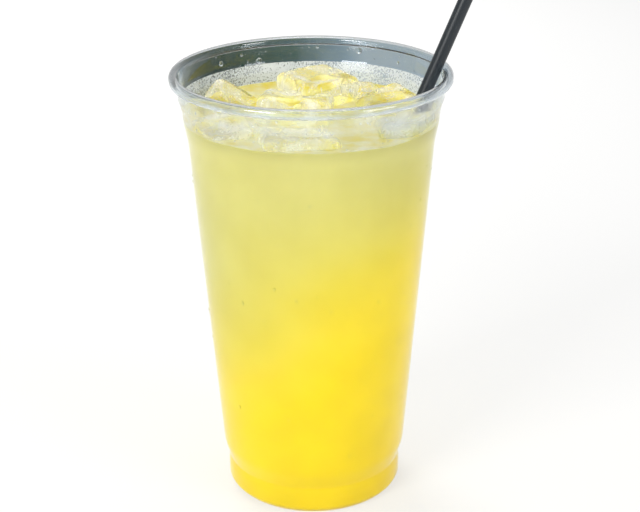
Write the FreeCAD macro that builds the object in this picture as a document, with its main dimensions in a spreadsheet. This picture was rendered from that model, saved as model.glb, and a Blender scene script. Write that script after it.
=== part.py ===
import FreeCAD, Part
import os

import Sketcher

V = FreeCAD.Vector

# A clear 24 oz cold-drink cup, filled with agua fresca, ice cubes and one straw.
# Millimetres and degrees. +Z is up, the cup stands on z = 0 and is centred on the Z axis.
# The camera side is -Y and the straw leans toward +X.

SIZES = {
    # cup, outside
    "cup_height": 158,  # table to the top of the rolled rim
    "rim_radius": 49,  # outermost line of the rolled rim, a standard 98 mm lid size
    "wall": 0.4,  # thermoformed PET
    "roll_radius": 1.625,  # outside of the roll's upper curve
    "roll_skirt": 0.65,  # upright stretch on the outside of the roll
    "tuck_radius": 1.3,  # outside of the edge that curls back under
    "tuck_turn": 150,  # degrees that the edge turns under
    "collar_drop": 8.5,  # rim top to the lower end of the collar
    "step_drop": 4,  # height of the sloping step below the collar
    "step_in": 1.25,
    "band_drop": 4,  # nearly upright band below the step
    "band_in": 0.35,
    "shoulder_drop": 7.5,  # from the band to the long taper
    "shoulder_in": 1.45,
    "taper_foot_radius": 33.75,  # lower end of the long taper
    "taper_foot_level": 17,
    "groove_radius": 31.85,  # stacking groove above the foot
    "groove_level": 10.6,
    "foot_radius": 32.2,
    "foot_top": 7.6,
    "foot_edge": 2.2,  # height at which the foot turns under
    "base_radius": 30.3,  # outer edge of the ring that the cup stands on
    "base_ring": 1.7,  # width of that ring
    "recess": 3.6,  # the floor is raised by this much
    "recess_draft": 1.6,
    "panel_radius": 19,  # stepped middle of the floor
    "panel_step": 0.9,
    "floor": 0.6,
    "foot_bend": 1.6,  # bend radii on the outside
    "groove_bend": 1.4,
    "taper_bend": 14,
    "band_bend": 5,
    "step_bend": 1.2,
    # contents
    "headspace": 16.8,  # rim top to the surface of the drink
    "film": 0.4,  # drink left between an ice cube and whatever it lies against
    "ice_length": 25,
    "ice_width": 22,
    "ice_height": 21,
    "ice_draft": 5,  # degrees, as a tray cube leaves its mould
    "ice_rounding": 3.2,
    "dimple_radius": 26,  # shallow hollow in the top of a cube
    "dimple_depth": 1.6,
    # straw
    "straw_radius": 2.4,
    "straw_wall": 0.28,
    "straw_length": 210,
    "straw_foot": 17,  # from the cup's axis to the point where the straw stands
    "straw_heading": 4,  # degrees from +X
    "straw_gap": 0.3,  # clearance at the rim and at the floor
}

# Lines that follow from the sizes above.
WORKED_OUT = {
    "roll_centre": "sizes.rim_radius - sizes.roll_radius",
    "roll_level": "sizes.cup_height - sizes.roll_radius",
    "collar_radius": "sizes.rim_radius - 2 * sizes.roll_radius + sizes.wall",
    "tuck_centre": "sizes.rim_radius - sizes.tuck_radius",
    "tuck_level": "lines.roll_level - sizes.roll_skirt",
    "tuck_end": "lines.tuck_level - sizes.tuck_radius * sin(sizes.tuck_turn * 1 deg)",
    "tuck_back": "lines.tuck_level - (sizes.tuck_radius - sizes.wall) * sin(sizes.tuck_turn * 1 deg)",
    "collar_foot": "sizes.cup_height - sizes.collar_drop",
    "step_radius": "lines.collar_radius - sizes.step_in",
    "step_foot": "lines.collar_foot - sizes.step_drop",
    "band_radius": "lines.step_radius - sizes.band_in",
    "band_foot": "lines.step_foot - sizes.band_drop",
    "shoulder_radius": "lines.band_radius - sizes.shoulder_in",
    "shoulder_foot": "lines.band_foot - sizes.shoulder_drop",
    "recess_radius": "sizes.base_radius - sizes.base_ring",
    "panel_level": "sizes.recess + sizes.panel_step",
    "level": "sizes.cup_height - sizes.headspace",
    "mouth": "lines.band_radius - sizes.wall",
    "straw_seat": "lines.panel_level + sizes.floor + sizes.straw_gap",
    "reach": "sizes.straw_foot + lines.roll_centre",
    "rise": "lines.roll_level - lines.straw_seat",
    "straw_lean": "atan2(lines.reach; lines.rise)"
    " - asin((sizes.roll_radius + sizes.straw_gap) / hypot(lines.reach; lines.rise))",
}

# Each ice cube: east and north as shares of the mouth, how far its top stands out of the
# drink, turn, pitch and roll in degrees, and its size as a share of a full cube.
# A later cube gives way to the earlier ones, as cubes that melt together do.
ICE = [
    (0.05, 0.48, 9.6, 38, 0, 4, 0.88),
    (-0.66, 0.30, 4.4, 20, 34, 30, 0.74),
    (-0.13, 0.0, 8.0, -7, 3, -9, 0.92),
    (0.63, 0.30, 4.2, 35, -8, 8, 0.72),
    (-0.11, -0.62, 3.2, 10, 4, -7, 0.94),
    (0.76, -0.33, 4.2, 8, -5, -8, 0.82),
    (-0.68, -0.34, 3.2, 24, -7, 7, 0.82),
    (0.42, 0.55, 5.2, 20, 12, 10, 0.48),
]

doc = FreeCAD.newDocument("agua_fresca")
sheet = doc.addObject("Spreadsheet::Sheet", "sizes")
lines = doc.addObject("App::VarSet", "lines")


def fill_sheet():
    for row, (name, value) in enumerate(SIZES.items(), 1):
        sheet.set(f"A{row}", name)
        sheet.set(f"B{row}", str(value))
        sheet.setAlias(f"B{row}", name)
    doc.recompute()


def work_out_lines():
    for name, formula in WORKED_OUT.items():
        kind = "App::PropertyAngle" if name == "straw_lean" else "App::PropertyFloat"
        lines.addProperty(kind, name)
        lines.setExpression(name, formula)
        doc.recompute()


def add_sketch(body, name, role):
    sketch = body.newObject("Sketcher::SketchObject", name)
    plane = [item for item in body.Origin.OriginFeatures if item.Role == role][0]
    sketch.AttachmentSupport = [(plane, "")]
    sketch.MapMode = "FlatFace"
    return sketch


def pin(sketch, geometry, point, x=None, y=None):
    """Tie a point of the sketch to formulas for its distances from the sketch's origin."""
    for kind, formula in (("DistanceX", x), ("DistanceY", y)):
        if formula is not None:
            number = sketch.addConstraint(Sketcher.Constraint(kind, -1, 1, geometry, point, 1.0))
            sketch.setExpression(f"Constraints[{number}]", formula)


def worth(formula):
    """The number that a formula comes to."""
    return float(getattr(sheet.evalExpression(formula), "Value", sheet.evalExpression(formula)))


def outline(sketch, corners):
    """A closed polygon whose corners follow pairs of formulas."""
    places = [V(worth(x), worth(y), 0) for x, y in corners]
    count = len(corners)
    for i in range(count):
        sketch.addGeometry(Part.LineSegment(places[i], places[(i + 1) % count]), False)
    for i in range(count):
        sketch.addConstraint(Sketcher.Constraint("Coincident", i, 2, (i + 1) % count, 1))
    for i, (x, y) in enumerate(corners):
        pin(sketch, i, 1, x, y)


def turn(body, sketch):
    solid = body.newObject("PartDesign::Revolution", "turned")
    solid.Profile = sketch
    solid.ReferenceAxis = (sketch, ["V_Axis"])
    solid.Angle = 360
    return solid


def soften(body, base, name, rings, radius):
    """Round the circular edges at the given radius and height formulas."""
    doc.recompute()
    wanted = [(worth(x), worth(z)) for x, z in rings]
    found = []
    for number, edge in enumerate(base.Shape.Edges, 1):
        curve = edge.Curve
        if not isinstance(curve, Part.Circle):
            continue
        for x, z in wanted:
            if abs(curve.Radius - x) < 1e-4 and abs(curve.Center.z - z) < 1e-4:
                found.append(f"Edge{number}")
    fillet = body.newObject("PartDesign::Fillet", name)
    fillet.Base = (base, found)
    fillet.setExpression("Radius", radius)
    return fillet


def cup_form(name, inward, floor_up):
    """The cup's outline, or its hollow when inward and floor_up are the wall and the floor.

    Bends that bulge out get tighter by the wall inside, and bends that dip in get wider.
    """
    body = doc.addObject("PartDesign::Body", name)
    sketch = add_sketch(body, name + "_section", "XZ_Plane")
    panel = f"lines.panel_level + {floor_up}"
    recess = f"sizes.recess + {floor_up}"
    foot_corner = (f"sizes.foot_radius - {inward}", f"sizes.foot_edge + {floor_up} / 3")
    foot_top = (f"sizes.foot_radius - {inward}", "sizes.foot_top")
    groove = (f"sizes.groove_radius - {inward}", "sizes.groove_level")
    taper_foot = (f"sizes.taper_foot_radius - {inward}", "sizes.taper_foot_level")
    shoulder = (f"lines.shoulder_radius - {inward}", "lines.shoulder_foot")
    band = (f"lines.band_radius - {inward}", "lines.band_foot")
    step = (f"lines.step_radius - {inward}", "lines.step_foot")
    collar = (f"lines.collar_radius - {inward}", "lines.collar_foot")
    outline(sketch, [
        ("0", panel),
        ("sizes.panel_radius", panel),
        ("sizes.panel_radius + sizes.panel_step", recess),
        (f"lines.recess_radius - sizes.recess_draft + {floor_up}", recess),
        (f"lines.recess_radius + {floor_up}", floor_up),
        (f"sizes.base_radius - {inward}", floor_up),
        foot_corner,
        foot_top,
        groove,
        taper_foot,
        shoulder,
        band,
        step,
        collar,
        (f"lines.collar_radius - {inward}", "lines.roll_level"),
        ("0", "lines.roll_level"),
    ])
    form = turn(body, sketch)
    form = soften(body, form, "foot_bend", [foot_corner], f"sizes.foot_bend - {inward}")
    form = soften(body, form, "foot_crest", [foot_top], f"sizes.groove_bend - {inward}")
    form = soften(body, form, "groove_bend", [groove], f"sizes.groove_bend + {inward}")
    form = soften(body, form, "taper_bends", [taper_foot, shoulder], "sizes.taper_bend")
    form = soften(body, form, "band_bend", [band], "sizes.band_bend")
    form = soften(body, form, "step_root", [step], f"sizes.step_bend + {inward}")
    form = soften(body, form, "collar_bend", [collar], f"sizes.step_bend - {inward}")
    return body


def rim_curl():
    """The wall rolled outward over the top, down a short skirt and back under itself."""
    body = doc.addObject("PartDesign::Body", "rim_curl")
    sketch = add_sketch(body, "curl_section", "XZ_Plane")
    roll_mid = V(worth("lines.roll_centre"), worth("lines.roll_level"), 0)
    tuck_mid = V(worth("lines.tuck_centre"), worth("lines.tuck_level"), 0)
    tuck_start = -worth("sizes.tuck_turn * pi / 180")
    half_turn = worth("pi")
    sweeps = [
        (roll_mid, "sizes.roll_radius", 0, half_turn),
        (roll_mid, "sizes.roll_radius - sizes.wall", 0, half_turn),
        (tuck_mid, "sizes.tuck_radius - sizes.wall", tuck_start, 0),
        (tuck_mid, "sizes.tuck_radius", tuck_start, 0),
    ]
    for middle, radius, start, end in sweeps:
        circle = Part.Circle(middle, V(0, 0, 1), worth(radius))
        sketch.addGeometry(Part.ArcOfCircle(circle, start, end), False)
    arcs = [sketch.Geometry[i] for i in range(4)]
    roll_out, roll_in, tuck_in, tuck_out = range(4)
    joins = [  # from one arc's end to another's: 1 is an arc's start and 2 its end
        (roll_out, 2, roll_in, 2),
        (roll_in, 1, tuck_in, 2),
        (tuck_in, 1, tuck_out, 1),
        (tuck_out, 2, roll_out, 1),
    ]
    for arc, end, other, other_end in joins:
        start = arcs[arc].StartPoint if end == 1 else arcs[arc].EndPoint
        stop = arcs[other].StartPoint if other_end == 1 else arcs[other].EndPoint
        line = sketch.addGeometry(Part.LineSegment(start, stop), False)
        sketch.addConstraint(Sketcher.Constraint("Coincident", arc, end, line, 1))
        sketch.addConstraint(Sketcher.Constraint("Coincident", line, 2, other, other_end))
    for arc, (middle, radius, start, end) in enumerate(sweeps):
        centre = "roll" if middle is roll_mid else "tuck"
        pin(sketch, arc, 3, f"lines.{centre}_centre", f"lines.{centre}_level")
        number = sketch.addConstraint(Sketcher.Constraint("Radius", arc, worth(radius)))
        sketch.setExpression(f"Constraints[{number}]", radius)
    for arc in (roll_out, roll_in):
        pin(sketch, arc, 1, y="lines.roll_level")
        pin(sketch, arc, 2, y="lines.roll_level")
    for arc, end in ((tuck_in, "lines.tuck_back"), (tuck_out, "lines.tuck_end")):
        pin(sketch, arc, 1, y=end)
        pin(sketch, arc, 2, y="lines.tuck_level")
    turn(body, sketch)
    return body


def boolean(kind, name, base, tool):
    result = doc.addObject("Part::" + kind, name)
    result.Base = base
    result.Tool = tool
    return result


def straw_form(name, radius, bore):
    """A leaning tube whose lowest point is at the origin of its own frame."""
    body = doc.addObject("PartDesign::Body", name)
    sketch = add_sketch(body, name + "_section", "XY_Plane")
    for number, size in enumerate([radius, bore] if bore else [radius]):
        circle = Part.Circle(V(-worth("sizes.straw_radius"), 0, 0), V(0, 0, 1), worth(size))
        sketch.addGeometry(circle, False)
        pin(sketch, number, 3, "-sizes.straw_radius", "0")
        held = sketch.addConstraint(Sketcher.Constraint("Radius", number, worth(size)))
        sketch.setExpression(f"Constraints[{held}]", size)
    tube = body.newObject("PartDesign::Pad", name + "_tube")
    tube.Profile = sketch
    tube.setExpression("Length", "sizes.straw_length")
    heading = "sizes.straw_heading * 1 deg"
    body.setExpression(
        "Placement",
        "create(<<placement>>; create(<<vector>>;"
        f" -sizes.straw_foot * cos({heading}); -sizes.straw_foot * sin({heading}); lines.straw_seat);"
        " create(<<rotation>>; sizes.straw_heading; lines.straw_lean; 0))",
    )
    return body


def ice_form(name, cube, film):
    """A tray cube: drafted sides, rounded edges and a shallow hollow in its top."""
    east, north, top, yaw, pitch, roll, share = cube
    body = doc.addObject("PartDesign::Body", name)
    sketch = add_sketch(body, name + "_plan", "XY_Plane")
    sketch.setExpression("AttachmentOffset.Base.z", f"-sizes.ice_height * {share} / 2 - {film}")
    half = [f"(sizes.{side} * {share} / 2 + {film})" for side in ("ice_length", "ice_width")]
    outline(sketch, [(a + half[0], b + half[1]) for a, b in (("-", "-"), ("", "-"), ("", ""), ("-", ""))])
    block = body.newObject("PartDesign::Pad", name + "_block")
    block.Profile = sketch
    block.setExpression("Length", f"sizes.ice_height * {share} + 2 * {film}")
    block.setExpression("TaperAngle", "sizes.ice_draft")
    doc.recompute()
    rounded = body.newObject("PartDesign::Fillet", name + "_rounded")
    rounded.Base = (block, [f"Edge{i + 1}" for i in range(len(block.Shape.Edges))])
    rounded.setExpression("Radius", "sizes.ice_rounding")
    if film == "0":
        dimple = body.newObject("PartDesign::SubtractiveSphere", name + "_dimple")
        dimple.AttachmentSupport = sketch.AttachmentSupport
        dimple.MapMode = "FlatFace"
        dimple.setExpression("Radius", "sizes.dimple_radius")
        dimple.setExpression(
            "AttachmentOffset.Base.z",
            f"sizes.ice_height * {share} / 2 + sizes.dimple_radius - sizes.dimple_depth",
        )
    body.setExpression(
        "Placement",
        "create(<<placement>>; create(<<vector>>;"
        f" lines.mouth * {east}; lines.mouth * {north}; lines.level + {top} - sizes.ice_height * {share} / 2);"
        f" create(<<rotation>>; {yaw}; {pitch}; {roll}))",
    )
    return body


fill_sheet()
work_out_lines()

outside = cup_form("cup_outside", "0", "0")
inside = cup_form("cup_inside", "sizes.wall", "sizes.floor")
shell = boolean("Cut", "cup_shell", outside, inside)
cup = boolean("Fuse", "cup", shell, rim_curl())

straw = straw_form("straw", "sizes.straw_radius", "sizes.straw_radius - sizes.straw_wall")
straw_room = straw_form("straw_room", "sizes.straw_radius + sizes.film", None)

limit = doc.addObject("Part::Cone", "ice_limit")
limit.setExpression("Placement.Base.z", "sizes.taper_foot_level")
limit.setExpression("Height", "sizes.cup_height - sizes.taper_foot_level")
limit.setExpression("Radius1", "sizes.taper_foot_radius - sizes.wall - sizes.film")
limit.setExpression("Radius2", "lines.shoulder_radius - sizes.wall - sizes.film")
room = boolean("Cut", "ice_room", limit, straw_room)
ice = []
for number, cube in enumerate(ICE, 1):
    block = ice_form(f"cube_{number}", cube, "0")
    piece = boolean("Common", f"cube_{number}_in_room", block, room)
    for other in range(1, number):
        piece = boolean("Cut", f"cube_{number}_beside_{other}", piece, doc.getObject(f"taken_{other}"))
    piece.Label = f"ice_{number}"
    ice.append(piece)
    ice_form(f"taken_{number}", cube, "sizes.film")

surface = doc.addObject("Part::Cylinder", "below_surface")
surface.setExpression("Radius", "sizes.rim_radius")
surface.setExpression("Height", "lines.level")
filled = boolean("Common", "filled", inside, surface)
sunk = doc.addObject("Part::MultiFuse", "sunk")
sunk.Shapes = ice + [straw]
drink = boolean("Cut", "drink", filled, sunk)

doc.recompute()

nodes = [cup, drink, straw] + ice
for item in doc.Objects:
    if "Invalid" in item.State or "Error" in item.State:
        raise RuntimeError(f"{item.Label}: {item.State}")
for node in nodes:
    if node.Shape.isNull() or not node.Shape.isValid() or len(node.Shape.Solids) != 1:
        raise RuntimeError(f"{node.Label} is not one sound solid: {len(node.Shape.Solids)}")

os.makedirs("parts", exist_ok=True)
for node in nodes:
    node.Shape.exportStep(f"parts/{node.Label}.step")
    box = node.Shape.BoundBox
    print(f"{node.Label}: {node.Shape.Volume / 1000:.2f} cm3,", box)
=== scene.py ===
import math
import random

import bmesh
import bpy
from mathutils import Matrix, Vector, noise


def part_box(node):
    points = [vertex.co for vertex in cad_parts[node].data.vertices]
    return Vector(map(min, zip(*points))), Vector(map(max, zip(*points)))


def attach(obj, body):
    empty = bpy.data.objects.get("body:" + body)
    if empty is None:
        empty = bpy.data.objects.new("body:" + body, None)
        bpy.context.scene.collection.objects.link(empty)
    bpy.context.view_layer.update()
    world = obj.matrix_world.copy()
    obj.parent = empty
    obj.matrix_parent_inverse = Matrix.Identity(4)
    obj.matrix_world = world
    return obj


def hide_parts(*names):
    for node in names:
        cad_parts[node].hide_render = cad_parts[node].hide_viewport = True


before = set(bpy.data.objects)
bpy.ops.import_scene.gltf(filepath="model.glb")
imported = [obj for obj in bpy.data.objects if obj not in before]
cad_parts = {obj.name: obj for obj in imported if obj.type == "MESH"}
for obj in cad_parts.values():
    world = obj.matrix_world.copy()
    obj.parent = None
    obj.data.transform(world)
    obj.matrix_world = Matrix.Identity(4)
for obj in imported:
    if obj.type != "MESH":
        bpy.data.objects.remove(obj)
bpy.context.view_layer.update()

# A clear cold-drink cup of agua fresca with ice and a straw. Sizes in the dictionaries are
# millimetres, and mm() turns them into Blender's metres.
millimetre = 0.001
fullTurn = 2 * math.pi


def mm(value):
    return value * millimetre


def srgb(hexText):
    channels = [int(hexText[i:i + 2], 16) / 255 for i in (1, 3, 5)]
    linear = [c / 12.92 if c <= 0.04045 else ((c + 0.055) / 1.055) ** 2.4 for c in channels]
    return (*linear, 1.0)


def addNode(material, kind, inputs=None, **settings):
    node = material.node_tree.nodes.new("ShaderNode" + kind)
    for name, value in settings.items():
        setattr(node, name, value)
    for name, value in (inputs or {}).items():
        if isinstance(value, bpy.types.NodeSocket):
            material.node_tree.links.new(value, node.inputs[name])
        else:
            node.inputs[name].default_value = value
    return node


def reckon(material, operation, *values):
    # one step of arithmetic; MULTIPLY_ADD is the first value times the second, plus the third
    return addNode(material, "Math", dict(enumerate(values)), operation=operation).outputs[0]


def remap(material, value, fromMin, fromMax, toMin=0.0, toMax=1.0):
    return addNode(material, "MapRange", {
        "Value": value, "From Min": fromMin, "From Max": fromMax,
        "To Min": toMin, "To Max": toMax}).outputs[0]


def noiseField(material, place, span, detail=2.0, **more):
    # a soft random pattern whose features are about span millimetres across
    inputs = {"Vector": place, "Scale": 1 / mm(span), "Detail": detail, **more}
    return addNode(material, "TexNoise", inputs).outputs["Fac"]


def cellField(material, place, span):
    # the distance from the middles of random cells about span millimetres across
    inputs = {"Vector": place, "Scale": 1 / mm(span), "Randomness": 1.0}
    return addNode(material, "TexVoronoi", inputs).outputs["Distance"]


def bumpFrom(material, height, strength, depth):
    return addNode(material, "Bump", {
        "Height": height, "Strength": strength, "Distance": mm(depth)}).outputs["Normal"]


def rampNode(material, factor, steps):
    ramp = addNode(material, "ValToRGB", {"Fac": factor})
    elements = ramp.color_ramp.elements
    while len(elements) < len(steps):
        elements.new(1.0)
    for element, (place, colour) in zip(elements, steps):
        element.position = place
        element.color = srgb(colour)
    return ramp.outputs["Color"]


def newMaterial(name):
    material = bpy.data.materials.new(name)
    material.use_nodes = True
    material.node_tree.nodes.clear()
    return material


def objectPlace(material):
    return addNode(material, "TexCoord").outputs["Object"]


def showSurface(material, shader):
    output = addNode(material, "OutputMaterial")
    material.node_tree.links.new(shader, output.inputs["Surface"])
    return material


def lampsPass(material, glass, tint):
    # lets lamps through what is clear, so that what it holds isn't in its own shadow
    path = addNode(material, "LightPath")
    lampRays = reckon(material, "MAXIMUM", path.outputs["Is Shadow Ray"],
                      path.outputs["Is Diffuse Ray"])
    passing = addNode(material, "BsdfTransparent", {"Color": srgb(tint)})
    mix = addNode(material, "MixShader", {
        0: lampRays, 1: glass.outputs[0], 2: passing.outputs[0]})
    return showSurface(material, mix.outputs[0])


def clearPet():
    # thermoformed PET sheet: glass-clear, faintly grey, with slow ripples left by the mould
    material = newMaterial("clearPet")
    ripple = noiseField(material, objectPlace(material), 14)
    glass = addNode(material, "BsdfPrincipled", {
        "Base Color": srgb("#f7fafb"), "Roughness": 0.03, "IOR": 1.45,
        "Transmission Weight": 1.0, "Normal": bumpFrom(material, ripple, 0.12, 0.25)})
    return lampsPass(material, glass, "#f8fafb")


mist = {
    "grain": 0.55,
    "clouds": 10,
    "front": -12,  # from here back to the next the veil turns from thin to thick
    "back": 14,
    "collarLow": 148.7,  # behind, it ends between these heights
    "collarHigh": 149.1,
    "least": -0.17,  # how thick it is in front, and what is added elsewhere
    "addOnCollar": 0.10,
    "addBehind": 0.80,
    "addInClouds": 0.8,
    "speckle": -0.05,
    "speckleBehind": -0.75,
    "clearBelow": 0.15,
    "whiteAbove": 0.85,
}


def mistedPet():
    # the same sheet fogged by the cold drink: a grainy white veil of droplets too small to see,
    # thick and speckled behind, thin and smooth in front, and on the collar only in front
    material = newMaterial("mistedPet")
    place = objectPlace(material)
    cells = cellField(material, place, mist["grain"])
    clouds = noiseField(material, place, mist["clouds"], 3.0)
    axes = addNode(material, "SeparateXYZ", {"Vector": place})
    behind = remap(material, axes.outputs["Y"], mm(mist["front"]), mm(mist["back"]))
    collar = remap(material, axes.outputs["Z"], mm(mist["collarLow"]), mm(mist["collarHigh"]))
    thin = reckon(material, "MULTIPLY_ADD", collar, mist["addOnCollar"], mist["least"])
    thick = reckon(material, "MULTIPLY_ADD", behind, mist["addBehind"], thin)
    veil = reckon(material, "MULTIPLY_ADD", clouds, mist["addInClouds"], thick)
    speckle = reckon(material, "MULTIPLY_ADD", behind, mist["speckleBehind"], mist["speckle"])
    grainy = reckon(material, "MULTIPLY_ADD", cells, speckle, veil)
    wiped = reckon(material, "MULTIPLY", collar, behind)
    fogged = reckon(material, "MULTIPLY_ADD", wiped, -2.0, grainy)
    clear = remap(material, fogged, mist["clearBelow"], mist["whiteAbove"], 1.0, 0.12)
    rough = remap(material, fogged, mist["clearBelow"], mist["whiteAbove"], 0.03, 0.5)
    fog = addNode(material, "BsdfPrincipled", {
        "Base Color": srgb("#eaeff4"), "Roughness": rough, "IOR": 1.4,
        "Transmission Weight": clear})
    return lampsPass(material, fog, "#f4f6f7")


drinkColours = {
    "side": [  # the height that a colour belongs to, before the drift
        (-25, "#edc900"), (15, "#f8d700"), (50, "#fada00"), (68, "#f4d824"), (86, "#e8d340"),
        (106, "#ddcf5c"), (126, "#d5cc70"), (150, "#d3cd82")],
    "paintedSheenLean": 0.8,  # painted sheen: the deep yellow stands this much higher for each step toward +X, so the -X side is paler
    "paintedSheenFull": 95,  # up to this height, and not at all above the next
    "paintedSheenNone": 138,
    "drift": 26,
    "driftSpan": 34,
    "surface": ["#e4d04a", "#e6dd98"],
    # the hollows get a brighter copy of the surface colours: painted light
    "hollows": ["#f3e45a", "#faf6b8"],
}
cloudyLiquid = {"Subsurface Weight": 0.2, "Subsurface Radius": (1.0, 0.8, 0.3), "IOR": 1.35}


def drinkPattern(material, place):
    # where the pulp has settled, as colour over the height, drifting at random; the lean is a
    # painted sheen that makes the -X side paler
    axes = addNode(material, "SeparateXYZ", {"Vector": place})
    paintedSheenLean = remap(material, axes.outputs["Z"], mm(drinkColours["paintedSheenFull"]),
                 mm(drinkColours["paintedSheenNone"]), -drinkColours["paintedSheenLean"], 0.0)
    sheenLeaning = reckon(material, "MULTIPLY_ADD", axes.outputs["X"], paintedSheenLean, axes.outputs["Z"])
    drift = noiseField(material, place, drinkColours["driftSpan"], 3.0, Roughness=0.45)
    drifting = reckon(material, "MULTIPLY_ADD", drift, mm(drinkColours["drift"]), sheenLeaning)
    steps = drinkColours["side"]
    lowest, highest = steps[0][0], steps[-1][0]
    half = drinkColours["drift"] / 2
    share = remap(material, drifting, mm(lowest + half), mm(highest + half))
    return rampNode(material, share, [
        ((level - lowest) / (highest - lowest), colour) for level, colour in steps])


def aguaFresca():
    # cloudy drink against the wall: pale and frothy near the ice, deep yellow where pulp settles
    material = newMaterial("cloudyDrink")
    place = objectPlace(material)
    smudge = noiseField(material, place, 17, 4.0)
    pulp = noiseField(material, place, 0.8)
    shade = remap(material, smudge, 0.3, 0.7, 0.93, 1.02)
    speck = remap(material, pulp, 0.0, 1.0, 0.97, 1.03)
    both = reckon(material, "MULTIPLY", shade, speck)
    toned = addNode(material, "VectorMath", {
        0: drinkPattern(material, place), "Scale": both}, operation="SCALE")
    liquid = addNode(material, "BsdfPrincipled", {
        "Base Color": toned.outputs[0], "Roughness": 0.5, "Specular IOR Level": 0.0,
        "Subsurface Scale": mm(5), **cloudyLiquid})
    return showSurface(material, liquid.outputs[0])


def drinkTop(where):
    # the open surface, wet, bright yellow, with paler froth; the hollows round the ice are
    # brighter still:
    # painted light, standing for light that has gone through the drink and comes out there on
    # every side
    material = newMaterial("drink" + where.capitalize())
    froth = noiseField(material, objectPlace(material), 6, 4.0)
    low, high = drinkColours[where]
    liquid = addNode(material, "BsdfPrincipled", {
        "Base Color": rampNode(material, froth, [(0.34, low), (0.58, high)]), "Roughness": 0.08,
        "Subsurface Scale": mm(4), "Normal": bumpFrom(material, froth, 0.2, 0.4), **cloudyLiquid})
    return showSurface(material, liquid.outputs[0])


iceFinishes = {
    # the frost at which the ice starts to whiten, its clearest and its cloudiest, and its colour
    "clear": (0.58, 0.98, 0.45, "#fcfdfb"),
    "milky": (0.48, 0.95, 0.45, "#f8f7ee"),
    "cloudy": (0.42, 0.90, 0.42, "#d2d7d8"),
}
whitening = 0.28  # how much more frost turns it from its clearest to its cloudiest


def wetIce(kind):
    # tray ice, wet and half melted: smooth clear windows, frosted patches and split planes inside
    start, clearest, cloudiest, colour = iceFinishes[kind]
    material = newMaterial(kind + "Ice")
    place = objectPlace(material)
    melt = noiseField(material, place, 9)
    splits = cellField(material, place, 7)
    patches = noiseField(material, place, 8, 3.0, Distortion=0.6)
    grain = noiseField(material, place, 0.8)
    frost = reckon(material, "MULTIPLY_ADD", grain, 0.28, patches)
    clear = remap(material, frost, start, start + whitening, clearest, cloudiest)
    rough = remap(material, frost, start, start + whitening, 0.02, 0.3)
    height = reckon(material, "MULTIPLY_ADD", splits, 0.6, melt)
    glass = addNode(material, "BsdfPrincipled", {
        "Base Color": srgb(colour), "Roughness": rough, "IOR": 1.31,
        "Transmission Weight": clear, "Normal": bumpFrom(material, height, 0.35, 1.2)})
    return lampsPass(material, glass, "#fdfdfa")


def trappedAir():
    # air frozen into the ice: tiny bright beads
    material = newMaterial("trappedAir")
    change = noiseField(material, objectPlace(material), 3)
    bead = addNode(material, "BsdfPrincipled", {
        "Base Color": srgb("#ffffff"), "Roughness": 0.1, "IOR": 1.2,
        "Transmission Weight": remap(material, change, 0.0, 1.0, 0.2, 0.8)})
    return lampsPass(material, bead, "#ffffff")


def waterBead():
    # condensed water: clear beads that catch the lamps
    material = newMaterial("condensedWater")
    wobble = noiseField(material, objectPlace(material), 1.5)
    bead = addNode(material, "BsdfPrincipled", {
        "Base Color": srgb("#fbfdfd"), "Roughness": 0.0, "IOR": 1.33,
        "Transmission Weight": 1.0, "Normal": bumpFrom(material, wobble, 0.1, 0.1)})
    return lampsPass(material, bead, "#fbfdfd")


def blackPlastic():
    # extruded polypropylene straw: soft satin, a little uneven
    material = newMaterial("blackPolypropylene")
    grain = noiseField(material, objectPlace(material), 3, 4.0)
    plastic = addNode(material, "BsdfPrincipled", {
        "Base Color": srgb("#1b2228"), "IOR": 1.45,
        "Roughness": remap(material, grain, 0.0, 1.0, 0.28, 0.42)})
    return showSurface(material, plastic.outputs[0])


def placeMesh(name, bm):
    mesh = bpy.data.meshes.new(name)
    bm.to_mesh(mesh)
    bm.free()
    thing = bpy.data.objects.new(name, mesh)
    bpy.context.scene.collection.objects.link(thing)
    return thing


def finishPiece(name, bm, materials, slot, *replaced):
    piece = placeMesh(name, bm)
    piece.data.shade_smooth()
    for material in materials:
        piece.data.materials.append(material)
    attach(piece, "root")
    if replaced:
        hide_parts(*replaced)
    print("made", name, len(piece.data.polygons), "faces")
    return piece


def meshOf(thing):
    bm = bmesh.new()
    bm.from_mesh(thing.data)
    return bm


def settle(piece):
    # puts what the modifiers make into the mesh itself
    graph = bpy.context.evaluated_depsgraph_get()
    made = bpy.data.meshes.new_from_object(piece.evaluated_get(graph))
    piece.modifiers.clear()
    piece.data = made
    made.shade_smooth()


def outline(bm, corners):
    # a chain of edges in the XZ plane through (radius, height, rounding) corners
    chain = [bm.verts.new((mm(radius), 0, mm(height))) for radius, height, _ in corners]
    for start, end in zip(chain, chain[1:]):
        bm.edges.new((start, end))
    for vertex, (_, _, rounding) in zip(chain, corners):
        if rounding:
            bmesh.ops.bevel(bm, geom=[vertex], offset=mm(rounding), offset_type="OFFSET",
                            segments=6, profile=0.5, affect="VERTICES", material=-1)


def arcOn(bm, start, centre, degrees, steps):
    # carries the chain on from its last vertex, round a centre given as (radius, height)
    middle = (mm(centre[0]), 0, mm(centre[1]))
    result = bmesh.ops.spin(bm, geom=[start], cent=middle, axis=(0, 1, 0), dvec=(0, 0, 0),
                            angle=math.radians(degrees), steps=steps, use_duplicate=False)
    return [v for v in result["geom_last"] if isinstance(v, bmesh.types.BMVert)][0]


def turnAround(bm, steps):
    bmesh.ops.spin(bm, geom=bm.verts[:] + bm.edges[:], cent=(0, 0, 0), axis=(0, 0, 1),
                   dvec=(0, 0, 0), angle=fullTurn, steps=steps, use_merge=True,
                   use_duplicate=False)
    bmesh.ops.remove_doubles(bm, verts=bm.verts[:], dist=mm(0.005))
    bmesh.ops.recalc_face_normals(bm, faces=bm.faces[:])


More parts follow.
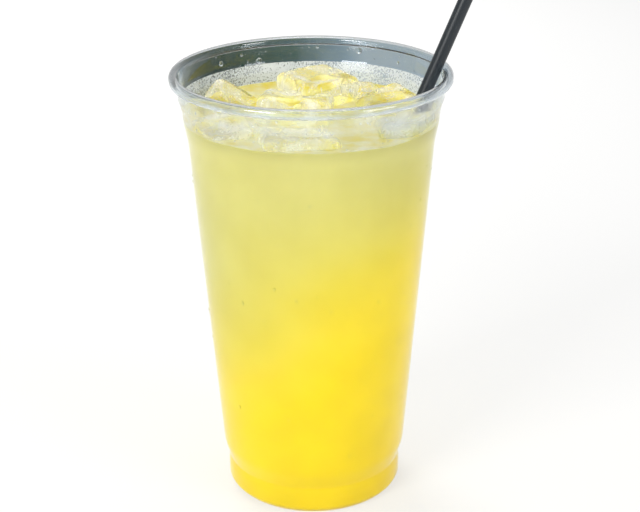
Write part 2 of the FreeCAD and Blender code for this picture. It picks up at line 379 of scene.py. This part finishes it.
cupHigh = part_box("cup")[1]
cup = {
    "rim": cupHigh.x / millimetre,
    "height": cupHigh.z / millimetre,
    "wall": 0.4,
    "roll": 1.625,
    "rollSteps": 14,
    "skirt": 0.65,
    "tuck": 1.3,
    "tuckTurn": 150,
    "tuckSteps": 10,
    "collarDrop": 8.5,
    # corners as radius, height and rounding: the floor from the middle out, the wall from the
    # foot to the taper, and from there up as measured from the foot of the collar
    "floor": [(0, 4.5, 0), (19.0, 4.5, 0.3), (19.9, 3.6, 0.3), (27.0, 3.6, 0.6),
              (28.6, 0.0, 0.5)],
    "lowWall": [(30.3, 0.0, 1.0), (32.2, 2.2, 1.0), (32.2, 7.6, 0.5), (31.85, 10.6, 0.3),
                (33.75, 17.0, 1.6)],
    "highWall": [(-3.05, -15.5, 1.6), (-1.6, -8.0, 1.2), (-1.25, -4.0, 0.5), (0, 0, 0.5)],
    "segments": 224,
}
cup["rollCentre"] = cup["rim"] - cup["roll"]
cup["rollLevel"] = cup["height"] - cup["roll"]
cup["collar"] = cup["rim"] - 2 * cup["roll"] + cup["wall"]
cup["collarFoot"] = cup["height"] - cup["collarDrop"]


def wallCorners(inward=0.0):
    # the outside of the wall from foot to collar, or a line inside it
    high = [(cup["collar"] + radius, cup["collarFoot"] + height, rounding)
            for radius, height, rounding in cup["highWall"]]
    return [(radius - inward, height, rounding)
            for radius, height, rounding in cup["lowWall"] + high]


def wallRadius(height, inward=0.0):
    # radius of the wall at a height, straight between its corners
    corners = wallCorners(inward)
    for (lowRadius, low, _), (highRadius, high, _) in zip(corners, corners[1:]):
        if low <= height <= high:
            return lowRadius + (highRadius - lowRadius) * (height - low) / (high - low)
    return corners[-1][0]


def makeCup(materials):
    bm = bmesh.new()
    outline(bm, cup["floor"] + wallCorners() + [(cup["collar"], cup["rollLevel"], 0)])
    last = max(bm.verts, key=lambda v: v.co.z)
    last = arcOn(bm, last, (cup["rollCentre"], cup["rollLevel"]), 180, cup["rollSteps"])
    lower = bm.verts.new(last.co - Vector((0, 0, mm(cup["skirt"]))))
    bm.edges.new((last, lower))
    tuckCentre = (cup["rim"] - cup["tuck"], cup["rollLevel"] - cup["skirt"])
    arcOn(bm, lower, tuckCentre, cup["tuckTurn"], cup["tuckSteps"])
    turnAround(bm, cup["segments"])
    bmesh.ops.solidify(bm, geom=bm.faces[:], thickness=-mm(cup["wall"]))
    bmesh.ops.recalc_face_normals(bm, faces=bm.faces[:])
    for face in bm.faces:
        # the inside of the wall is fogged from the drink up
        middle = face.calc_center_median()
        inner = face.normal.x * middle.x + face.normal.y * middle.y < 0
        if inner and mm(drink["level"]) < middle.z < mm(cup["rollLevel"]):
            face.material_index = 1
    finishPiece("cupShell", bm, materials, "clear_pet", "cup")


drink = {
    "level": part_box("drink")[1].z / millimetre,
    "intoWall": 0.15,  # how far the drink reaches into the wall
    "floor": [(0, 4.95, 0), (19.0, 4.95, 0.3), (19.9, 4.05, 0.3), (27.6, 4.05, 0.6),
              (29.1, 0.35, 0)],
    "foot": (0.35, 0.6),  # height and rounding of its lowest edge
    "floorTop": 6,  # up to here everything lies on the cup's floor
    "meniscus": 1.0,  # how high it climbs the wall, and over what distance
    "meniscusReach": 1.6,
    "sway": 0.5,  # the unevenness of the surface
    "swaySpan": 17,
    "surfaceDepth": 0.6,
    "rings": 40,
    "segments": 224,
}


def makeDrink(materials, cutters):
    bm = bmesh.new()
    inward = cup["wall"] - drink["intoWall"]
    side = [corner for corner in wallCorners(inward) if corner[1] < drink["level"] - 1]
    side[0] = (side[0][0], *drink["foot"])
    brim = cup["collar"] + cup["highWall"][1][0] - inward
    outline(bm, drink["floor"] + side + [(brim, drink["level"], 0), (0, drink["level"], 0)])
    top = [e for e in bm.edges
           if all(abs(v.co.z - mm(drink["level"])) < mm(0.01) for v in e.verts)]
    bmesh.ops.subdivide_edges(bm, edges=top, cuts=drink["rings"])
    turnAround(bm, drink["segments"])
    for vertex in bm.verts:
        if vertex.co.z > mm(drink["level"] - 0.01):
            fromWall = mm(brim) - math.hypot(vertex.co.x, vertex.co.y)
            climb = drink["meniscus"] * math.exp(-fromWall / mm(drink["meniscusReach"]))
            sway = noise.noise(vertex.co / mm(drink["swaySpan"])) * drink["sway"]
            vertex.co.z += mm(climb + sway)
    piece = finishPiece("drinkBody", bm, materials, "agua_fresca", "drink")
    for cutter in cutters:
        cut = piece.modifiers.new("pocket", "BOOLEAN")
        cut.operation = "DIFFERENCE"
        cut.solver = "MANIFOLD"
        cut.object = cutter
    settle(piece)
    for face in piece.data.polygons:
        # what doesn't lie against the cup is open surface, or a hollow if it lies deeper
        middle = face.center / millimetre
        reach = math.hypot(middle.x, middle.y)
        againstWall = reach > wallRadius(middle.z, inward) - 0.5 and abs(face.normal.z) < 0.6
        if middle.z < drink["floorTop"] or againstWall:
            face.material_index = 0
        elif middle.z > drink["level"] - drink["surfaceDepth"]:
            face.material_index = 1
        else:
            face.material_index = 2


ice = {
    "voxel": 0.6,
    "smoothing": 5,
    "melt": 0.35,  # depth of the hollows that melting leaves
    "meltSpan": 9.0,
    "meltBias": 0.45,  # how far the surface has gone back all over, as a share of that depth
    "pocketInset": 0.08,  # how much smaller its pocket in the drink is
    "air": 34,  # beads of air in each cube
    "airReach": (0.1, 0.85),  # share of the way from the middle to the skin
    "airSizes": (0.10, 0.26),
    "finish": {"ice_5": "milky", "ice_6": "cloudy", "ice_7": "milky"},  # whitened by the wall
    "seed": 7,
}


def makeIce(node, material):
    # the cube of the frame, melted: its edges run soft and its faces dish and ripple
    bm = meshOf(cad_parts[node])
    bmesh.ops.remove_doubles(bm, verts=bm.verts[:], dist=mm(0.002))
    block = placeMesh(node + "Block", bm)
    remesh = block.modifiers.new("even", "REMESH")
    remesh.mode = "VOXEL"
    remesh.voxel_size = mm(ice["voxel"])
    smooth = block.modifiers.new("soften", "SMOOTH")
    smooth.factor = 0.5
    smooth.iterations = ice["smoothing"]
    settle(block)
    bm = meshOf(block)
    bpy.data.objects.remove(block)
    for vertex in bm.verts:
        wave = noise.noise(vertex.co / mm(ice["meltSpan"]))
        vertex.co += vertex.normal * mm(ice["melt"] * (wave - ice["meltBias"]))
    number = node.split("_")[1]
    return finishPiece("iceCube" + number, bm, [material], "ice", node)


def makeCutter(piece):
    # a slightly smaller copy of a cube, to sink its pocket in the drink
    bm = meshOf(piece)
    for vertex in bm.verts:
        vertex.co -= vertex.normal * mm(ice["pocketInset"])
    return placeMesh("pocket", bm)


def addBead(bm, place, outward, radius, flat=1.0, stretch=1.0, fineness=2):
    # a bead lying on a surface: place in metres, radius in mm, flattened along outward
    turned = Vector(outward).to_track_quat("Z", "Y").to_matrix().to_4x4()
    size = Matrix.Diagonal((mm(radius), mm(radius * stretch), mm(radius * flat), 1))
    bmesh.ops.create_icosphere(bm, subdivisions=fineness, radius=1,
                               matrix=Matrix.Translation(place) @ turned @ size)


def makeTrappedAir(material, cubes):
    # strewn from the middle of each cube toward its skin, thicker near the middle
    bm = bmesh.new()
    chance = random.Random(ice["seed"])
    for piece in cubes:
        corners = [v.co for v in piece.data.vertices]
        middle = sum(corners, Vector()) / len(corners)
        for _ in range(ice["air"]):
            reach = chance.uniform(*ice["airReach"])
            place = middle.lerp(chance.choice(corners), reach)
            addBead(bm, place, (0, 0, 1), chance.uniform(*ice["airSizes"]))
    finishPiece("trappedAir", bm, [material], "ice")


water = {
    "insideBeads": 90,
    "insideHeights": (143, 154.5),
    "insideSizes": (0.2, 0.5),
    "outsideBeads": 46,
    "outsideHeights": (20, 135),
    "outsideSizes": (0.15, 0.42),
    "outsideStretch": 1.15,
    "flat": 0.5,
    "sunk": 0.1,  # share of its radius that a bead sinks into the wall
    "fineFrom": 0.6,
    "large": [  # degrees round from +X, height, radius: the few that stand out inside
        (136, 151.6, 1.0), (115, 150.0, 1.2), (124, 153.2, 0.6), (67, 153.4, 1.2),
        (87, 154.0, 0.6), (46, 151.2, 0.7)],
    "drips": [  # the few that have run together outside
        (183, 118.5, 0.5), (184, 121.0, 0.35), (182, 67.5, 0.45), (188, 70.5, 0.4),
        (232, 84.0, 0.5), (251, 92.0, 0.45), (262, 88.0, 0.4), (305, 84.5, 0.45),
        (222, 40.0, 0.55)],
    "dripStretch": 1.5,
    "seed": 21,
}


def addWallBead(bm, degrees, height, radius, inside, stretch=1.0):
    turn = math.radians(degrees)
    outward = Vector((math.cos(turn), math.sin(turn), 0))
    sunk = water["sunk"] * radius
    if inside:
        place = outward * mm(wallRadius(height, cup["wall"]) - sunk)
        outward = -outward
    else:
        place = outward * mm(wallRadius(height) + sunk)
    place.z = mm(height)
    fineness = 3 if radius > water["fineFrom"] else 2
    addBead(bm, place, outward, radius, water["flat"], stretch, fineness)


def makeWaterBeads(material):
    chance = random.Random(water["seed"])
    bm = bmesh.new()
    for degrees, height, radius in water["large"]:
        addWallBead(bm, degrees, height, radius, True)
    for _ in range(water["insideBeads"]):
        degrees = chance.uniform(0, 360)
        height = chance.uniform(*water["insideHeights"])
        addWallBead(bm, degrees, height, chance.uniform(*water["insideSizes"]), True)
    finishPiece("beadsInside", bm, [material], "clear_pet")
    bm = bmesh.new()
    for degrees, height, radius in water["drips"]:
        addWallBead(bm, degrees, height, radius, False, water["dripStretch"])
    for _ in range(water["outsideBeads"]):
        height = chance.uniform(*water["outsideHeights"])
        degrees = chance.uniform(0, 360)
        radius = chance.uniform(*water["outsideSizes"])
        addWallBead(bm, degrees, height, radius, False, water["outsideStretch"])
    finishPiece("beadsOutside", bm, [material], "clear_pet")


bubbles = {
    "ring": 44,
    "ringInset": (0.7, 2.2),
    "ringMiddles": (95, 265),  # degrees round from +X where the froth gathers, and how widely
    "ringSpread": 40,
    "afloat": 46,
    "afloatReach": 0.95,
    "sizes": (0.25, 0.6),
    "raised": 0.3,
    "flat": 0.8,
    "seed": 5,
}


def makeBubbles(material, cubes):
    # froth round the edge of the drink, and bubbles afloat between the cubes
    chance = random.Random(bubbles["seed"])
    bm = bmesh.new()
    edge = wallRadius(drink["level"], cup["wall"])
    spots = []
    for _ in range(bubbles["ring"]):
        reach = edge - chance.uniform(*bubbles["ringInset"])
        aside = chance.gauss(0, 1) * bubbles["ringSpread"]
        spots.append((reach, aside + chance.choice(bubbles["ringMiddles"])))
    for _ in range(bubbles["afloat"]):
        reach = edge * math.sqrt(chance.random()) * bubbles["afloatReach"]
        spots.append((reach, chance.uniform(0, 360)))
    for reach, degrees in spots:
        radius = chance.uniform(*bubbles["sizes"])
        turn = math.radians(degrees)
        level = drink["level"] + radius * bubbles["raised"]
        place = Vector((reach * math.cos(turn), reach * math.sin(turn), level)) * millimetre
        if not any(inPiece(piece, place, mm(radius)) for piece in cubes):
            addBead(bm, place, (0, 0, 1), radius, bubbles["flat"])
    finishPiece("frothBubbles", bm, [material], "agua_fresca")


def inPiece(piece, place, margin):
    found, spot, normal, _ = piece.closest_point_on_mesh(place)
    return found and ((place - spot).dot(normal) < 0 or (place - spot).length < margin)


straw = {
    "radius": 2.36,
    "wall": 0.28,
    "segments": 72,
    "rings": 24,
}


def makeStraw(material):
    # a tube between the middles of the two ends of the frame's straw
    points = [v.co.copy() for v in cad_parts["straw"].data.vertices]
    middle = sum(points, Vector()) / len(points)
    ends = []
    for side in (-1, 1):
        ring = [p for p in points if side * (p.z - middle.z) > 0]
        ends.append(sum(ring, Vector()) / len(ring))
    low, high = ends
    along = high - low
    bm = bmesh.new()
    bmesh.ops.create_circle(bm, segments=straw["segments"], radius=mm(straw["radius"]),
                            cap_ends=False)
    edge = bm.edges[:]
    for _ in range(straw["rings"]):
        raised = bmesh.ops.extrude_edge_only(bm, edges=edge)["geom"]
        edge = [e for e in raised if isinstance(e, bmesh.types.BMEdge)]
        edge = [e for e in edge if e.is_boundary]
        lifted = [v for v in raised if isinstance(v, bmesh.types.BMVert)]
        bmesh.ops.translate(bm, verts=lifted, vec=(0, 0, along.length / straw["rings"]))
    bmesh.ops.recalc_face_normals(bm, faces=bm.faces[:])
    bmesh.ops.solidify(bm, geom=bm.faces[:], thickness=mm(straw["wall"]))
    bmesh.ops.recalc_face_normals(bm, faces=bm.faces[:])
    turned = along.to_track_quat("Z", "Y").to_matrix().to_4x4()
    bmesh.ops.transform(bm, matrix=Matrix.Translation(low) @ turned, verts=bm.verts[:])
    finishPiece("drinkingStraw", bm, [material], "black_plastic", "straw")


makeCup([clearPet(), mistedPet()])
iceLooks = {kind: wetIce(kind) for kind in iceFinishes}
names = sorted(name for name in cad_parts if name.startswith("ice_"))
cubes = [makeIce(name, iceLooks[ice["finish"].get(name, "clear")]) for name in names]
cutters = [makeCutter(piece) for piece in cubes]
makeDrink([aguaFresca(), drinkTop("surface"), drinkTop("hollows")], cutters)
for cutter in cutters:
    bpy.data.objects.remove(cutter)
dew = waterBead()
makeTrappedAir(trappedAir(), cubes)
makeBubbles(dew, cubes)
makeWaterBeads(dew)
makeStraw(blackPlastic())
print("cup, drink, ice and straw are made")

studio = {
    "floor": "#f1f1ef",
    "floorSize": 4.0,  # in metres
    "floorGlow": 0.62,  # share of plain white in the floor, so that it stays even
    "air": "#ffffff",
    "airStrength": 0.35,  # what lights the cup
    "airSeen": 0.65,  # what its reflections and clear edges show
    "airBackdrop": 1.0,  # what stands behind where the floor ends: plain white
    "bandRadius": 115,  # a glowing band round the cup that only what is clear shows: painted reflections of a room, no lamp
    "bandLow": 40,
    "bandHigh": 148,
    "bandSegments": 96,
    "bandHalf": 75,  # to each side of the middle its tones run this far
    "bandBlots": 60,
    "bandTones": [(0.30, "#14241d"), (0.58, "#223832"), (0.76, "#3c5654"), (0.94, "#8094a0"),
                  (1.0, "#9eacb4")],
    "bandBack": (72, 94),  # from here to here back, the pale sides turn to the tones
    "bandSides": "#dbe2e6",
}


def seenRays(material):
    # 1 for what the camera, a reflection or something clear looks at, 0 for what lights the
    # object; the world can stand in for the material
    path = addNode(material, "LightPath")
    direct = reckon(material, "MAXIMUM", path.outputs["Is Camera Ray"],
                    path.outputs["Is Glossy Ray"])
    return reckon(material, "MAXIMUM", direct, path.outputs["Is Transmission Ray"])


def addStagePiece(name, bm, material):
    thing = placeMesh(name, bm)
    thing.data.materials.append(material)
    return thing


def makeFloor():
    # matt white paper sweep, brightened where it is only looked at
    material = newMaterial("whiteSweep")
    paint = addNode(material, "BsdfPrincipled", {
        "Base Color": srgb(studio["floor"]), "Roughness": 0.6})
    white = addNode(material, "Emission", {"Color": srgb("#ffffff"), "Strength": 1.0})
    share = reckon(material, "MULTIPLY", seenRays(material), studio["floorGlow"])
    mix = addNode(material, "MixShader", {0: share, 1: paint.outputs[0], 2: white.outputs[0]})
    showSurface(material, mix.outputs[0])
    bm = bmesh.new()
    bmesh.ops.create_grid(bm, x_segments=1, y_segments=1, size=studio["floorSize"])
    addStagePiece("floor", bm, material)


def makePaintedRoomGlow():
    # painted reflections of a room, glowing though it is no lamp, that only rays through
    # something clear see: dark leaves on one side, pale walls on the other
    material = newMaterial("paintedRoomGlow")
    place = objectPlace(material)
    blots = noiseField(material, place, studio["bandBlots"], 3.0)
    axes = addNode(material, "SeparateXYZ", {"Vector": place})
    half = mm(studio["bandHalf"])
    across = remap(material, axes.outputs["X"], -half, half)
    mixed = reckon(material, "MULTIPLY_ADD", blots, 0.7, across)
    near, far = studio["bandBack"]
    behind = remap(material, axes.outputs["Y"], mm(near), mm(far))
    # the painted reflection: the band glows in these tones, though it is no lamp
    glow = addNode(material, "Emission", {
        "Color": rampNode(material, mixed, studio["bandTones"]), "Strength": 1.0})
    pale = addNode(material, "Emission", {"Color": srgb(studio["bandSides"]), "Strength": 1.0})
    mix = addNode(material, "MixShader", {0: behind, 1: pale.outputs[0], 2: glow.outputs[0]})
    showSurface(material, mix.outputs[0])
    bm = bmesh.new()
    low = bm.verts.new((mm(studio["bandRadius"]), 0, mm(studio["bandLow"])))
    high = bm.verts.new((mm(studio["bandRadius"]), 0, mm(studio["bandHigh"])))
    bm.edges.new((low, high))
    turnAround(bm, studio["bandSegments"])
    band = addStagePiece("paintedRoomGlow", bm, material)
    band.visible_camera = False
    band.visible_diffuse = False
    band.visible_glossy = False
    band.visible_shadow = False


def makeWorld():
    world = bpy.data.worlds.new("studioAir")
    bpy.context.scene.world = world
    world.use_nodes = True
    background = world.node_tree.nodes["Background"]
    background.inputs["Color"].default_value = srgb(studio["air"])
    around = remap(world, seenRays(world), 0.0, 1.0, studio["airStrength"], studio["airSeen"])
    cameraRay = addNode(world, "LightPath").outputs["Is Camera Ray"]
    strength = remap(world, cameraRay, 0.0, 1.0, around, studio["airBackdrop"])
    world.node_tree.links.new(strength, background.inputs["Strength"])


lamps = {
    # in metres: place, aim and size, then watts, and whether it shows in reflections
    "keyLamp": ((-0.62, -0.72, 0.55), (0, 0, 0.08), (0.42, 0.42), 7.2, True),
    "fillLamp": ((0.8, -0.55, 0.40), (0, 0, 0.08), (0.45, 0.6), 4.6, True),
    "rearLamp": ((-0.38, 0.88, 0.50), (0, 0, 0.1), (0.6, 0.5), 8, False),
    "topLamp": ((0.0, 0.2, 1.1), (0, 0, 0.1), (0.4, 0.4), 1.6, True),
}


def addLamp(name, place, aim, size, watts, reflected):
    lamp = bpy.data.lights.new(name, "AREA")
    lamp.shape = "RECTANGLE"
    lamp.size, lamp.size_y = size
    lamp.energy = watts
    holder = bpy.data.objects.new(name, lamp)
    bpy.context.scene.collection.objects.link(holder)
    holder.location = place
    holder.rotation_mode = "QUATERNION"
    holder.rotation_quaternion = (Vector(aim) - Vector(place)).to_track_quat("-Z", "Y")
    holder.visible_glossy = reflected
    holder.visible_transmission = reflected


view = {
    "distance": 499.088,
    "height": 294.904,
    "pitch": 0.39198,  # radians
    "yaw": 0.00545,
    "roll": -0.00591,
    "sensor": 36,
    "lens": 84.065,
}


def makeCamera():
    lens = bpy.data.cameras.new("camera")
    lens.sensor_width = view["sensor"]
    lens.lens = view["lens"]
    lens.clip_start = 0.01
    camera = bpy.data.objects.new("camera", lens)
    bpy.context.scene.collection.objects.link(camera)
    turn = (Matrix.Rotation(-view["yaw"], 4, "Z")
            @ Matrix.Rotation(math.pi / 2 - view["pitch"], 4, "X")
            @ Matrix.Rotation(view["roll"], 4, "Z"))
    place = Matrix.Translation((0, -mm(view["distance"]), mm(view["height"])))
    camera.matrix_world = place @ turn
    bpy.context.scene.camera = camera


makeFloor()
makePaintedRoomGlow()
makeWorld()
for name, values in lamps.items():
    addLamp(name, *values)
makeCamera()
print("stage, lamps and camera are in place")

bpy.context.scene.view_settings.view_transform = "Standard"
